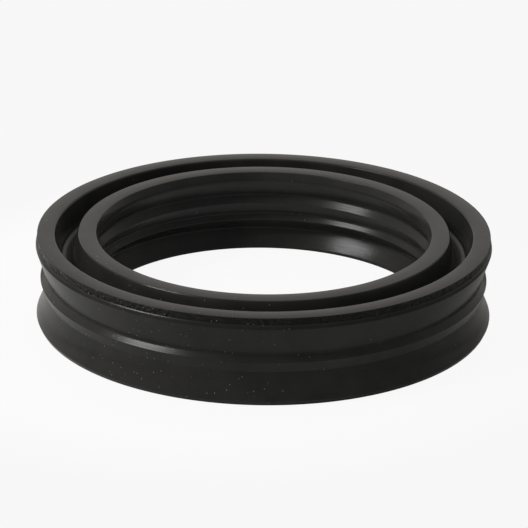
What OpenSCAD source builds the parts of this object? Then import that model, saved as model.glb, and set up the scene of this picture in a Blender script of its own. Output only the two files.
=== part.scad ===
// Double-lip rod seal: one moulded rubber ring with a U-groove in its top,
// a lip on each flank, a ribbed outer flank, two teeth and a waist in the bore,
// and a flat underside.
// Origin at the centre of the underside, +Z along the ring's axis.

/* [Diameters] */
// Diameter over the outer lip's sealing edge
outer_lip_d = 76.3; // [70:0.1:90]
// Diameter over the outer heel, at its widest
outer_heel_d = 76.5; // [73:0.1:80]
// Bore between the inner lip's sealing edges
inner_lip_d = 55.1; // [52:0.1:57]
// Bore of the heel's foot
inner_heel_d = 57.6; // [56:0.1:60]

/* [Heights] */
// Height of the ring, from the underside to the lips' flat tops
height = 14.75; // [13:0.25:20]

/* [Outer flank] */
// Height of the rib's crest above the underside
rib_z = 7.05; // [6.6:0.05:7.5]
// Height of the rib's upper face, from the crest to the valley above it
rib_face_h = 0.85; // [0.5:0.05:1.2]
// Drop from the rib's crest to the valley above the heel
rib_back_h = 1.75; // [1:0.05:2.2]
// How far the rib's crest lies in from the sealing edge
rib_inset = 0.65; // [0.3:0.05:0.9]
// Depth of the valley above the heel, measured in from the sealing edge
heel_valley = 1.25; // [1:0.05:1.6]
// How far the heel's flare has drawn in at its bend
flare_inset = 0.95; // [0.5:0.05:1.2]
// Height of the bend in the heel's flare
flare_z = 2.9; // [2:0.1:3.6]

/* [Bore] */
// Height of the upper tooth's edge above the underside
upper_tooth_z = 8.95; // [8.5:0.05:9.4]
// Height of the upper tooth's sloping top face
upper_tooth_face_h = 1.15; // [0.7:0.05:1.4]
// How far the upper tooth's edge lies out from the lip's sealing edge
upper_tooth_inset = 0.4; // [0.2:0.05:0.8]
// Depth of the valley between the teeth, measured out from the sealing edge
tooth_valley = 1.95; // [1.4:0.05:2.2]
// Height of the lower tooth's edge above the underside
lower_tooth_z = 5.55; // [5.1:0.05:6]
// Height of the lower tooth's sloping top face
lower_tooth_face_h = 0.9; // [0.5:0.05:1.2]
// How far the lower tooth's edge lies out from the sealing edge
lower_tooth_inset = 1.1; // [0.8:0.05:1.3]
// Depth of the waist above the heel, measured out from the sealing edge
waist_depth = 3.45; // [2.4:0.05:3.8]
// Height of the waist's deepest line above the underside
waist_z = 3.2; // [2.4:0.05:3.8]
// Height of the plain land at the foot of the bore
foot_land_h = 0.5; // [0.3:0.05:1]

/* [Lips and groove] */
// Depth of the valley under each lip, measured from its sealing edge
lip_valley = 1.6; // [1:0.05:2]
// Drop from the lips' tops to their sealing edges
lip_edge_drop = 1.3; // [1.25:0.05:2]
// Height of the plain land on each sealing edge
lip_land_h = 0.55; // [0.2:0.05:0.8]
// Height of the trimmed band round each lip, above its sealing edge
trim_h = 1.1; // [0.5:0.05:1.2]
// How far the trimmed band's foot lies in from the sealing edge
trim_foot_inset = 0.24; // [0.1:0.02:0.4]
// How far the outer trimmed band's top lies in from the sealing edge
outer_trim_top_inset = 0.27; // [0.2:0.01:0.6]
// How far the inner trimmed band's top lies in from the sealing edge
inner_trim_top_inset = 0.53; // [0.4:0.01:0.8]
// Width of the groove at the lips' tops
groove_w = 3.87; // [3.4:0.01:4.6]
// Depth of the groove
groove_depth = 4.8; // [3:0.1:5.2]
// Distance of the groove outward from midway between the sealing edges
groove_offset = 0.15; // [0:0.01:0.4]
// Draft of the groove's outer wall, in degrees
outer_wall_draft = 10; // [2:0.5:12]
// Draft of the groove's inner wall, in degrees
inner_wall_draft = 15; // [2:0.5:16]

/* [Edges] */
// Radius where the groove's walls run into its floor
groove_r = 1; // [0.3:0.05:1.2]
// Radius on the lips' top edges along the groove
groove_edge_r = 0.35; // [0.1:0.05:0.6]
// Radius of the sealing edges, the rib and the teeth
crest_r = 0.15; // [0.05:0.01:0.3]
// Radius in the valleys
valley_r = 0.35; // [0.1:0.05:0.6]
// Radius of the bend in the heel's flare
flare_r = 9; // [3:0.5:12]
// Height of the break on the heel's outer bottom edge
heel_edge_h = 0.7; // [0.3:0.05:0.9]
// Width of the break on the heel's outer bottom edge
heel_edge_w = 0.3; // [0.1:0.05:0.5]

/* [Hidden] */
$fn = 180;
// Largest turn between two points on a rounded corner, in degrees
arc_step = 18;
// Fewest steps on a rounded corner
arc_min_steps = 3;

outer_lip_r = outer_lip_d / 2;
inner_lip_r = inner_lip_d / 2;
outer_heel_r = outer_heel_d / 2;
inner_heel_r = inner_heel_d / 2;
lip_edge_z = height - lip_edge_drop;
lip_land_z = lip_edge_z - lip_land_h;
trim_foot_z = height - trim_h;

// The groove lies midway between the two sealing edges, apart from its offset.
groove_mid_r = (outer_lip_r + inner_lip_r) / 2 + groove_offset;
groove_floor_z = height - groove_depth;
groove_top_out_r = groove_mid_r + groove_w / 2;
groove_top_in_r = groove_mid_r - groove_w / 2;
groove_floor_out_r = groove_top_out_r - groove_depth * tan(outer_wall_draft);
groove_floor_in_r = groove_top_in_r + groove_depth * tan(inner_wall_draft);

// Corners of each stretch of the section, as [radius, height, corner radius].
outer_flank = [
    [outer_heel_r - heel_edge_w, 0, 0],
    [outer_heel_r, heel_edge_h, crest_r],
    [outer_heel_r - flare_inset, flare_z, flare_r],
    [outer_lip_r - heel_valley, rib_z - rib_back_h, valley_r],
    [outer_lip_r - rib_inset, rib_z, crest_r],
    [outer_lip_r - lip_valley, rib_z + rib_face_h, valley_r],
    [outer_lip_r, lip_land_z, crest_r],
    [outer_lip_r, lip_edge_z, crest_r],
    [outer_lip_r - trim_foot_inset, trim_foot_z, crest_r],
    [outer_lip_r - outer_trim_top_inset, height, 0],
];
groove = [
    [groove_top_out_r, height, groove_edge_r],
    [groove_floor_out_r, groove_floor_z, groove_r],
    [groove_floor_in_r, groove_floor_z, groove_r],
    [groove_top_in_r, height, groove_edge_r],
];
inner_flank = [
    [inner_lip_r + inner_trim_top_inset, height, 0],
    [inner_lip_r + trim_foot_inset, trim_foot_z, crest_r],
    [inner_lip_r, lip_edge_z, crest_r],
    [inner_lip_r, lip_land_z, crest_r],
    [inner_lip_r + lip_valley, upper_tooth_z + upper_tooth_face_h, valley_r],
    [inner_lip_r + upper_tooth_inset, upper_tooth_z, crest_r],
    [inner_lip_r + tooth_valley, lower_tooth_z + lower_tooth_face_h, valley_r],
    [inner_lip_r + lower_tooth_inset, lower_tooth_z, crest_r],
    [inner_lip_r + waist_depth, waist_z, valley_r],
    [inner_heel_r, foot_land_h, 0],
    [inner_heel_r, 0, 0],
];

function unit(v) = v / norm(v);

function turned(v, a) = [v.x * cos(a) - v.y * sin(a), v.x * sin(a) + v.y * cos(a)];

// Points of the arc that rounds corner b between a and c. The arc reaches at
// most half-way along the shorter of the two sides.
function arc(a, b, c, radius) =
    let (
        to_a = unit(a - b),
        to_c = unit(c - b),
        half = acos(to_a * to_c) / 2,
        side = min(norm(a - b), norm(c - b)),
        reach = min(radius / tan(half), side / 2),
        centre = b + unit(to_a + to_c) * reach / cos(half),
        start = b + to_a * reach - centre,
        turn = (180 - 2 * half) * -sign(cross(to_a, to_c)),
        steps = max(arc_min_steps, ceil(abs(turn) / arc_step))
    )
    [for (k = [0:steps]) centre + turned(start, turn * k / steps)];

// The outline through all corners, each rounded by its own radius.
function rounded(corners) =
    let (
        n = len(corners),
        p = [for (c = corners) [c.x, c.y]]
    )
    [
        for (i = [0:n - 1])
            let (radius = corners[i].z)
            each radius > 0 ? arc(p[(i + n - 1) % n], p[i], p[(i + 1) % n], radius) : [p[i]]
    ];

module seal_section() {
    polygon(rounded(concat(outer_flank, groove, inner_flank)));
}

module seal_ring() {
    color([0.10, 0.10, 0.095])
        rotate_extrude()
            seal_section();
}

seal_ring();
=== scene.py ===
"""Looks of the moulded lip seal ring: a fine mesh over its solid, its rubber, and a pale studio."""

import math

import bpy
import numpy as np
from mathutils import Matrix, Vector, noise


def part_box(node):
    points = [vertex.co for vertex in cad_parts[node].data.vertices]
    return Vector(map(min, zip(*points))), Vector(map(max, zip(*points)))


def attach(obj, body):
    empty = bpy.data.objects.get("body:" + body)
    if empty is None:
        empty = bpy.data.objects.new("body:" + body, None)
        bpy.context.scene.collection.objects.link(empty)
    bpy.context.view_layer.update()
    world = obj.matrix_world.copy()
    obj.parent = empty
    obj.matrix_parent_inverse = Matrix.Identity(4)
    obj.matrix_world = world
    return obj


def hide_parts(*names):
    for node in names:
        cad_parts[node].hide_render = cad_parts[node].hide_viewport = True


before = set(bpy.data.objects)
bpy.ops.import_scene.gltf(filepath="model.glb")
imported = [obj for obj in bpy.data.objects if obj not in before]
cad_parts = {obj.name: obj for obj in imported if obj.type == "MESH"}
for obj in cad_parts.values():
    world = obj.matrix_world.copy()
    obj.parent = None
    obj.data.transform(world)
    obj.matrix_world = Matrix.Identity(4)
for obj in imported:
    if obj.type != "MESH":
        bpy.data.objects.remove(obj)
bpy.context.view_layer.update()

NODE = "seal_ring"
BODY = "root"
MM = 0.001

# How far the finer mesh keeps in at the heel, in millimetres, to stay inside the solid's box
HEEL_MARGIN = 0.003

# Ring section in millimetres, as the part's source has it
box_low, box_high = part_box(NODE)
HEIGHT = (box_high.z - box_low.z) / MM
OUTER_LIP_R = 38.15
INNER_LIP_R = 27.55
OUTER_HEEL_R = 38.25 - HEEL_MARGIN
INNER_HEEL_R = 28.8
RIB_Z = 7.05
RIB_FACE_H = 0.85
RIB_BACK_H = 1.75
RIB_INSET = 0.65
HEEL_VALLEY = 1.25
FLARE_INSET = 0.95
FLARE_Z = 2.9
UPPER_TOOTH_Z = 8.95
UPPER_TOOTH_FACE_H = 1.15
UPPER_TOOTH_INSET = 0.4
TOOTH_VALLEY = 1.95
LOWER_TOOTH_Z = 5.55
LOWER_TOOTH_FACE_H = 0.9
LOWER_TOOTH_INSET = 1.1
WAIST_DEPTH = 3.45
WAIST_Z = 3.2
FOOT_LAND_H = 0.5
LIP_VALLEY = 1.6
LIP_EDGE_DROP = 1.3
LIP_LAND_H = 0.55
OUTER_TRIM_TOP_INSET = 0.27
INNER_TRIM_TOP_INSET = 0.53
GROOVE_W = 3.87
GROOVE_DEPTH = 4.8
GROOVE_OFFSET = 0.15
OUTER_WALL_DRAFT = math.radians(10)
INNER_WALL_DRAFT = math.radians(15)
GROOVE_R = 1.0
GROOVE_EDGE_R = 0.35
CREST_R = 0.15
VALLEY_R = 0.35
FLARE_R = 9.0
HEEL_EDGE_H = 0.7
HEEL_EDGE_W = 0.3

# Wear of the outer lip's sealing edge, and the cut ledge over it
LIP_WEAR = 0.1
LEDGE_W = 0.13
LEDGE_H = 0.12
LEDGE_R = 0.03

# Chamfer on the inner lip's groove edge, and radii of the inner lip's top, its sealing edge and the heel
CHAMFER = 0.16
TOP_EDGE_R = 0.18
BORE_LIP_R = 0.6
HEEL_EDGE_R = 0.12

# How far under the top the torn band ends, just clear of the rounded edge
TRIM_TOP_GAP = 1.1 * LEDGE_R

# Mesh density: steps round the ring, on a rounded corner, and in millimetres along the section
SEGMENTS = 740
ARC_STEP = math.radians(25)
ARC_MIN_STEPS = 3
PLAIN_STEP = 2.0
TRIM_STEP = 0.15

# Torn flash on the outer lip's trimmed band: its depth in millimetres, and the noise that tears it
FLASH_DEPTH = 0.18
FLASH_LEAST = 0.25
FLASH_MEAN = 0.5
FLASH_SCALE = 1.7
FLASH_FINE_SCALE = 4.5
FLASH_FINE_SHARE = 0.6
FLASH_PATCH_SCALE = 0.11
FLASH_SEED = 11.0

# Rubber: the two ends of its mottled colour, its dull trimmed band, and how it shines
RUBBER_DARK = (0.028, 0.028, 0.0277, 1)
RUBBER_PALE = (0.0415, 0.0407, 0.0386, 1)
RUBBER_IOR = 1.30
ROUGHNESS = (0.18, 0.25)
TRIM_COLOUR = (0.02, 0.02, 0.0195, 1)
TRIM_ROUGHNESS = 0.24

# Noise scales of the rubber, per metre, and the noise values between which a mottle or a line changes
BLOTCH_SCALE = 160.0
BLOTCH_DETAIL = 4.0
GRAIN_SCALE = 2600.0
GRAIN_DETAIL = 3.0
TORN_SCALE = 1500.0
TORN_DETAIL = 2.0
NOISE_SPAN = (0.3, 0.7)

# Turned lines: noise scale per millimetre of section, and how many of those a metre sideways counts as
TURNED_SCALE = 3.2
TURNED_DETAIL = 3.0
TURNED_SQUEEZE = 60.0

# Relief of the grain and the turned lines, and of the tears, which are strong in patches
FINE_STRENGTH = 0.05
FINE_RELIEF = 0.0002
TORN_RELIEF = 0.0009
TORN_SPAN = (0.4, 0.55)
TORN_STRENGTH = (0.1, 1.0)

# Dust: cells per metre, a speck's soft edge as a share of a cell, and its share of cells near and far
# from the middle of the patch where most of it lies, in metres
DUST_COLOUR = (0.6, 0.58, 0.53, 1)
DUST_SCALE = 1250.0
DUST_EDGE = (0.045, 0.085)
DUST_PLACE = (-0.017, -0.034, 0.003)
DUST_REACH = (0.006, 0.03)
DUST_AMOUNT = (0.95, 0.1)

# Photograph's camera, fitted to the ring's edges
CAMERA_DISTANCE = 0.4496
CAMERA_ELEVATION = math.radians(22.98)
CAMERA_PITCH = math.radians(-1.008)
CAMERA_YAW = math.radians(0.008)
CAMERA_ROLL = math.radians(-0.675)
CAMERA_CLIP = 0.01
FOCAL_PIXELS = 2652
IMAGE_PIXELS = 528
SENSOR_MM = 36

# How far the floor reaches, and how far it lies below the underside, so that the two don't share a plane
FLOOR_HALF = 3.0
FLOOR_GAP = 0.00005

# Centre of the sheet under the ring, and where the sheet and its middle with the painted glow begin and end
# to fade, in metres
SHEET_CENTRE = (-0.008, -0.002, 0.0)
SHEET_R = (0.048, 0.066)
PAINTED_GLOW_R = (0.026, 0.034)

# Share of white that the camera sees, then what shines in the rubber: the sheet, the floor, and the middle,
# where a painted glow lights up the rubber's reflections inside the ring
CAMERA_WHITE = 0.92
SHEET_WHITE = 0.07
FLOOR_WHITE = 0.01
PAINTED_GLOW_WHITE = 0.32

# Paint of the sheet and of the floor beyond it
SHEET_PAINT = (0.93, 0.93, 0.93, 1)
FLOOR_PAINT = (0.2, 0.2, 0.2, 1)
PAINT_ROUGHNESS = 0.6

# Room: the direction of its pale side, seen from the ring, and its colours on the far side and there
PALE_SIDE = (-0.4, 0.87, -0.3)
ROOM_DIM = (0.15, 0.15, 0.155, 1)
ROOM_PALE = (0.73, 0.71, 0.667, 1)

# Window: its angles left of the front and above the floor, its distance and size in metres, and radiance
WINDOW_AZIMUTH = math.radians(75)
WINDOW_ELEVATION = math.radians(47)
WINDOW_DISTANCE = 0.9
WINDOW_W = 0.32
WINDOW_H = 0.19
WINDOW_RADIANCE = 13.0


def corner_list():
    """Corners of the section as (radius, height, corner radius), once round from the outer heel."""
    mid = (OUTER_LIP_R + INNER_LIP_R) / 2 + GROOVE_OFFSET
    groove_out, groove_in = mid + GROOVE_W / 2, mid - GROOVE_W / 2
    floor_z = HEIGHT - GROOVE_DEPTH
    floor_out = groove_out - GROOVE_DEPTH * math.tan(OUTER_WALL_DRAFT)
    floor_in = groove_in + GROOVE_DEPTH * math.tan(INNER_WALL_DRAFT)
    lip_z = HEIGHT - LIP_EDGE_DROP
    land_z = lip_z - LIP_LAND_H
    return [
        (OUTER_HEEL_R - HEEL_EDGE_W, 0, HEEL_EDGE_R),
        (OUTER_HEEL_R, HEEL_EDGE_H, CREST_R),
        (OUTER_HEEL_R - FLARE_INSET, FLARE_Z, FLARE_R),
        (OUTER_LIP_R - HEEL_VALLEY, RIB_Z - RIB_BACK_H, VALLEY_R),
        (OUTER_LIP_R - RIB_INSET, RIB_Z, CREST_R),
        (OUTER_LIP_R - LIP_VALLEY, RIB_Z + RIB_FACE_H, VALLEY_R),
        (OUTER_LIP_R, land_z, CREST_R),
        (OUTER_LIP_R - LIP_WEAR, lip_z, LEDGE_R),
        (OUTER_LIP_R - LIP_WEAR - LEDGE_W, lip_z + LEDGE_H, LEDGE_R),
        (OUTER_LIP_R - OUTER_TRIM_TOP_INSET, HEIGHT, LEDGE_R),
        (groove_out, HEIGHT, GROOVE_EDGE_R),
        (floor_out, floor_z, GROOVE_R),
        (floor_in, floor_z, GROOVE_R),
        (groove_in, HEIGHT - CHAMFER, LEDGE_R),
        (groove_in - CHAMFER, HEIGHT, LEDGE_R),
        (INNER_LIP_R + INNER_TRIM_TOP_INSET, HEIGHT, TOP_EDGE_R),
        (INNER_LIP_R, lip_z, BORE_LIP_R),
        (INNER_LIP_R, land_z, CREST_R),
        (INNER_LIP_R + LIP_VALLEY, UPPER_TOOTH_Z + UPPER_TOOTH_FACE_H, VALLEY_R),
        (INNER_LIP_R + UPPER_TOOTH_INSET, UPPER_TOOTH_Z, CREST_R),
        (INNER_LIP_R + TOOTH_VALLEY, LOWER_TOOTH_Z + LOWER_TOOTH_FACE_H, VALLEY_R),
        (INNER_LIP_R + LOWER_TOOTH_INSET, LOWER_TOOTH_Z, CREST_R),
        (INNER_LIP_R + WAIST_DEPTH, WAIST_Z, VALLEY_R),
        (INNER_HEEL_R, FOOT_LAND_H, HEEL_EDGE_R),
        (INNER_HEEL_R, 0, HEEL_EDGE_R),
    ]


def rounded_corner(before, corner, after, radius):
    """Points of the arc that rounds a corner, reaching at most half-way along its shorter side."""
    to_before = before - corner
    to_after = after - corner
    side = min(to_before.length, to_after.length)
    to_before.normalize()
    to_after.normalize()
    half = to_before.angle(to_after) / 2
    reach = min(radius / math.tan(half), side / 2)
    centre = corner + (to_before + to_after).normalized() * reach / math.cos(half)
    start = corner + to_before * reach - centre
    turn = (math.pi - 2 * half) * -math.copysign(1, to_before.cross(to_after))
    steps = max(ARC_MIN_STEPS, math.ceil(abs(turn) / ARC_STEP))
    return [centre + Matrix.Rotation(turn * k / steps, 2) @ start for k in range(steps + 1)]


def in_trim_band(radius, height):
    """Whether a point of the section lies on the outer lip's trimmed face, between ledge and top."""
    on_face = radius > OUTER_LIP_R - OUTER_TRIM_TOP_INSET - LEDGE_R
    return on_face and HEIGHT - LIP_EDGE_DROP + LEDGE_H < height < HEIGHT - TRIM_TOP_GAP


def section_points():
    """The closed section as an array of (radius, height), with long stretches divided."""
    corners = corner_list()
    outline = []
    for i, (r, z, radius) in enumerate(corners):
        before = Vector(corners[i - 1][:2])
        after = Vector(corners[(i + 1) % len(corners)][:2])
        outline += rounded_corner(before, Vector((r, z)), after, radius)
    divided = []
    for a, b in zip(outline, outline[1:] + outline[:1]):
        middle = (a + b) / 2
        step = TRIM_STEP if in_trim_band(*middle) else PLAIN_STEP
        count = max(1, math.ceil((b - a).length / step))
        divided += [a.lerp(b, k / count) for k in range(count)]
    return np.array(divided)


def flash_offset(angle, height):
    """How far the trimmed band lies in from its clean face at a place, in millimetres."""
    around = Vector((math.cos(angle), math.sin(angle))) * OUTER_LIP_R
    coarse = noise.noise(Vector((around.x, around.y, height + FLASH_SEED)) * FLASH_SCALE)
    fine = noise.noise(Vector((around.x, around.y, height - FLASH_SEED)) * FLASH_FINE_SCALE)
    patch = FLASH_MEAN + noise.noise(Vector((around.x, around.y, FLASH_SEED)) * FLASH_PATCH_SCALE)
    tear = max(0.0, coarse + FLASH_FINE_SHARE * fine)
    amount = FLASH_LEAST + max(0.0, patch)
    across = (HEIGHT - height) / (LIP_EDGE_DROP - LEDGE_H)
    return FLASH_DEPTH * tear * amount * math.sin(math.pi * across)


def ring_mesh():
    """The section revolved once round, with the position along the section kept for the rubber."""
    section = section_points()
    rows = len(section)
    steps = np.linalg.norm(np.roll(section, -1, axis=0) - section, axis=1)
    along = np.concatenate([[0.0], np.cumsum(steps)])
    trim = np.array([1.0 if in_trim_band(r, z) else 0.0 for r, z in section])
    angles = np.arange(SEGMENTS) * 2 * math.pi / SEGMENTS
    radii = np.repeat(section[None, :, 0], SEGMENTS, axis=0)
    band = np.flatnonzero(trim)[1:-1]
    for j, angle in enumerate(angles):
        for i in band:
            radii[j, i] -= flash_offset(angle, section[i, 1])
    places = np.stack([
        radii * np.cos(angles)[:, None],
        radii * np.sin(angles)[:, None],
        np.repeat(section[None, :, 1], SEGMENTS, axis=0),
    ], axis=-1) * MM
    j, i = np.meshgrid(np.arange(SEGMENTS), np.arange(rows), indexing="ij")
    next_j, next_i = (j + 1) % SEGMENTS, (i + 1) % rows
    faces = np.stack([
        j * rows + i,
        next_j * rows + i,
        next_j * rows + next_i,
        j * rows + next_i,
    ], axis=-1)
    mesh = bpy.data.meshes.new("moulded_ring")
    mesh.from_pydata(places.reshape(-1, 3).tolist(), [], faces.reshape(-1, 4).tolist())
    mesh.shade_smooth()
    for name, values in (("along", along[:-1]), ("trim", trim)):
        layer = mesh.attributes.new(name, "FLOAT", "POINT")
        layer.data.foreach_set("value", np.tile(values, SEGMENTS).astype(np.float32))
    mesh.update()
    return mesh


def node_tree(owner):
    """The owner's node tree, emptied."""
    owner.use_nodes = True
    tree = owner.node_tree
    tree.nodes.clear()
    return tree


def add(tree, kind, links=(), **settings):
    """Adds a node with its settings and input values, and links the named inputs to outputs."""
    made = tree.nodes.new(kind)
    for name, value in settings.items():
        setattr(made, name, value)
    for socket, source in dict(links).items():
        if isinstance(source, bpy.types.NodeSocket):
            tree.links.new(source, made.inputs[socket])
        else:
            made.inputs[socket].default_value = source
    return made


def attribute(tree, name):
    """A mesh attribute's value."""
    return add(tree, "ShaderNodeAttribute", attribute_name=name).outputs["Fac"]


def cloud(tree, vector, scale, detail):
    """Smooth noise from 0 to 1."""
    return add(tree, "ShaderNodeTexNoise", {
        "Vector": vector, "Scale": scale, "Detail": detail}).outputs["Fac"]


def calculate(tree, operation, a, b):
    """One operation on two values."""
    return add(tree, "ShaderNodeMath", {0: a, 1: b}, operation=operation).outputs[0]


def distance(tree, place, centre):
    """How far a place lies from a centre."""
    return add(tree, "ShaderNodeVectorMath", {0: place, 1: centre}, operation="DISTANCE").outputs["Value"]


def remap(tree, value, span, result=(0.0, 1.0)):
    """Carries a value from one span to another, and holds it at the ends."""
    return add(tree, "ShaderNodeMapRange", {
        "Value": value,
        "From Min": span[0],
        "From Max": span[1],
        "To Min": result[0],
        "To Max": result[1],
    }).outputs[0]


def blend(tree, share, first, second):
    """A mix of two colours, all the second one where the share is 1."""
    return add(tree, "ShaderNodeMix", {0: share, 6: first, 7: second}, data_type="RGBA").outputs[2]


def turned_lines(tree, place, along):
    """Noise that is drawn out round the ring and fine along its section."""
    split = add(tree, "ShaderNodeSeparateXYZ", {"Vector": place})
    squeezed = add(tree, "ShaderNodeCombineXYZ", {
        "X": calculate(tree, "MULTIPLY", split.outputs["X"], TURNED_SQUEEZE),
        "Y": calculate(tree, "MULTIPLY", split.outputs["Y"], TURNED_SQUEEZE),
        "Z": along,
    })
    return cloud(tree, squeezed.outputs[0], TURNED_SCALE, TURNED_DETAIL)


def dust_share(tree, place):
    """Soft specks, one to a cell, most of them close to one place and few elsewhere."""
    cells = add(tree, "ShaderNodeTexVoronoi", {"Vector": place, "Scale": DUST_SCALE})
    dot = remap(tree, cells.outputs["Distance"], DUST_EDGE, (1.0, 0.0))
    amount = remap(tree, distance(tree, place, DUST_PLACE), DUST_REACH, DUST_AMOUNT)
    draw = add(tree, "ShaderNodeSeparateColor", {"Color": cells.outputs["Color"]}).outputs[0]
    kept = calculate(tree, "LESS_THAN", draw, amount)
    return calculate(tree, "MULTIPLY", dot, kept)


def mottled_colour(tree, blotch):
    """The rubber's colour, between its dark and its pale end."""
    tone = add(tree, "ShaderNodeValToRGB", {"Fac": blotch})
    ends = zip(tone.color_ramp.elements, NOISE_SPAN, (RUBBER_DARK, RUBBER_PALE))
    for element, position, colour in ends:
        element.position = position
        element.color = colour
    return tone.outputs[0]


def rubber_relief(tree, grain, turned, torn, torn_share):
    """The normal over the grain, the turned lines and the tears."""
    fine = add(tree, "ShaderNodeBump", {
        "Height": grain, "Strength": FINE_STRENGTH, "Distance": FINE_RELIEF})
    lines = add(tree, "ShaderNodeBump", {
        "Height": turned, "Strength": FINE_STRENGTH, "Distance": FINE_RELIEF, "Normal": fine.outputs[0]})
    tears = add(tree, "ShaderNodeBump", {
        "Height": torn, "Strength": torn_share, "Distance": TORN_RELIEF, "Normal": lines.outputs[0]})
    return tears.outputs[0]


def rubber():
    """Black satin rubber with soft mottling, faint turned lines, dust and a dull torn trim."""
    material = bpy.data.materials.new("black_rubber_moulded")
    tree = node_tree(material)
    place = add(tree, "ShaderNodeTexCoord").outputs["Object"]
    trim = attribute(tree, "trim")
    blotch = cloud(tree, place, BLOTCH_SCALE, BLOTCH_DETAIL)
    grain = cloud(tree, place, GRAIN_SCALE, GRAIN_DETAIL)
    torn = cloud(tree, place, TORN_SCALE, TORN_DETAIL)
    turned = turned_lines(tree, place, attribute(tree, "along"))
    torn_share = calculate(tree, "MULTIPLY", trim, remap(tree, blotch, TORN_SPAN, TORN_STRENGTH))
    trimmed = blend(tree, trim, mottled_colour(tree, blotch), TRIM_COLOUR)
    shine = remap(tree, turned, NOISE_SPAN, ROUGHNESS)
    shader = add(tree, "ShaderNodeBsdfPrincipled", {
        "Base Color": blend(tree, dust_share(tree, place), trimmed, DUST_COLOUR),
        "Roughness": add(tree, "ShaderNodeMix", {0: trim, 2: shine, 3: TRIM_ROUGHNESS}).outputs[0],
        "IOR": RUBBER_IOR,
        "Normal": rubber_relief(tree, grain, turned, torn, torn_share),
    })
    add(tree, "ShaderNodeOutputMaterial", {"Surface": shader.outputs[0]})
    return material


def build_ring():
    """The whole ring as one piece, in place of its solid."""
    ring = bpy.data.objects.new("moulded_ring", ring_mesh())
    bpy.context.scene.collection.objects.link(ring)
    ring.modifiers.new("even_shading", "WEIGHTED_NORMAL")
    ring.data.materials.append(rubber())
    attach(ring, BODY)
    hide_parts(NODE)


def floor_material():
    """A pale sheet on a grey floor, both near white to the camera and dim where the rubber mirrors them,
    except for a painted glow in the middle that shows only in the rubber.
    """
    material = bpy.data.materials.new("pale_floor")
    tree = node_tree(material)
    path = add(tree, "ShaderNodeLightPath").outputs
    place = add(tree, "ShaderNodeTexCoord").outputs["Object"]
    reach = distance(tree, place, SHEET_CENTRE)
    beyond = remap(tree, reach, SHEET_R)
    sheen = remap(tree, beyond, (0.0, 1.0), (SHEET_WHITE, FLOOR_WHITE))
    # Painted light: inside the ring the floor glows brighter white, but only where the rubber mirrors it
    middle = remap(tree, reach, PAINTED_GLOW_R, (PAINTED_GLOW_WHITE, 0.0))
    mirrored = calculate(tree, "MAXIMUM", path["Is Glossy Ray"], path["Is Transmission Ray"])
    # The painted glow in the middle is added to the white that the rubber mirrors
    by_mirror = calculate(tree, "MULTIPLY", mirrored, calculate(tree, "MAXIMUM", sheen, middle))
    by_eye = calculate(tree, "MULTIPLY", path["Is Camera Ray"], CAMERA_WHITE)
    paint = add(tree, "ShaderNodeBsdfPrincipled", {
        "Base Color": blend(tree, beyond, SHEET_PAINT, FLOOR_PAINT), "Roughness": PAINT_ROUGHNESS})
    white = add(tree, "ShaderNodeEmission", {"Color": (1, 1, 1, 1), "Strength": 1.0})
    surface = add(tree, "ShaderNodeMixShader", {
        0: calculate(tree, "MAXIMUM", by_eye, by_mirror), 1: paint.outputs[0], 2: white.outputs[0]})
    add(tree, "ShaderNodeOutputMaterial", {"Surface": surface.outputs[0]})
    return material


def build_floor():
    """The floor, just below the ring's underside."""
    signs = ((-1, -1), (1, -1), (1, 1), (-1, 1))
    mesh = bpy.data.meshes.new("studio_floor")
    mesh.from_pydata([(x * FLOOR_HALF, y * FLOOR_HALF, -FLOOR_GAP) for x, y in signs], [], [(0, 1, 2, 3)])
    mesh.materials.append(floor_material())
    floor = bpy.data.objects.new("studio_floor", mesh)
    bpy.context.scene.collection.objects.link(floor)


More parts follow.
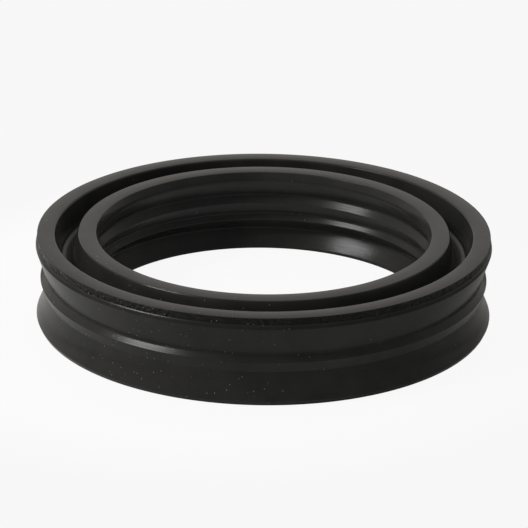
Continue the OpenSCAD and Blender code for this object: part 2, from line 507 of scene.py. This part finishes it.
def build_world():
    """A room that is pale low down behind the ring and to its left, and dim overhead and in front."""
    world = bpy.data.worlds.new("studio")
    tree = node_tree(world)
    towards = add(tree, "ShaderNodeTexCoord").outputs["Generated"]
    side = add(tree, "ShaderNodeVectorMath", {0: towards, 1: PALE_SIDE}, operation="DOT_PRODUCT")
    pale = remap(tree, side.outputs["Value"], (-1.0, 1.0))
    light = add(tree, "ShaderNodeBackground", {
        "Color": blend(tree, pale, ROOM_DIM, ROOM_PALE), "Strength": 1.0})
    add(tree, "ShaderNodeOutputWorld", {"Surface": light.outputs[0]})
    bpy.context.scene.world = world


def build_window():
    """An area light above and to the left, turned towards the ring, and not seen by the camera."""
    light = bpy.data.lights.new("window", "AREA")
    light.shape = "RECTANGLE"
    light.size = WINDOW_W
    light.size_y = WINDOW_H
    light.energy = WINDOW_RADIANCE * math.pi * WINDOW_W * WINDOW_H
    level = math.cos(WINDOW_ELEVATION)
    place = Vector((
        -math.sin(WINDOW_AZIMUTH) * level,
        -math.cos(WINDOW_AZIMUTH) * level,
        math.sin(WINDOW_ELEVATION),
    )) * WINDOW_DISTANCE
    lamp = bpy.data.objects.new("window", light)
    lamp.location = place
    lamp.rotation_euler = (-place).to_track_quat("-Z", "Y").to_euler()
    lamp.visible_camera = False
    bpy.context.scene.collection.objects.link(lamp)


def build_camera():
    """The photograph's view: the fitted distance, height and small turns about the camera's axes."""
    camera = bpy.data.objects.new("camera", bpy.data.cameras.new("camera"))
    camera.data.sensor_width = SENSOR_MM
    camera.data.lens = FOCAL_PIXELS * SENSOR_MM / IMAGE_PIXELS
    camera.data.clip_start = CAMERA_CLIP
    e = CAMERA_ELEVATION
    place = Vector((0, -math.cos(e), math.sin(e))) * CAMERA_DISTANCE
    facing = Matrix(((1, 0, 0), (0, math.sin(e), math.cos(e)), (0, -math.cos(e), math.sin(e))))
    turned = (Matrix.Rotation(CAMERA_ROLL, 3, "Z") @ Matrix.Rotation(CAMERA_PITCH, 3, "X")
              @ Matrix.Rotation(CAMERA_YAW, 3, "Y") @ facing)
    camera.matrix_world = Matrix.Translation(place) @ turned.transposed().to_4x4()
    bpy.context.scene.collection.objects.link(camera)
    bpy.context.scene.camera = camera


build_camera()
build_ring()
build_floor()
build_world()
build_window()
bpy.context.scene.view_settings.view_transform = "Standard"
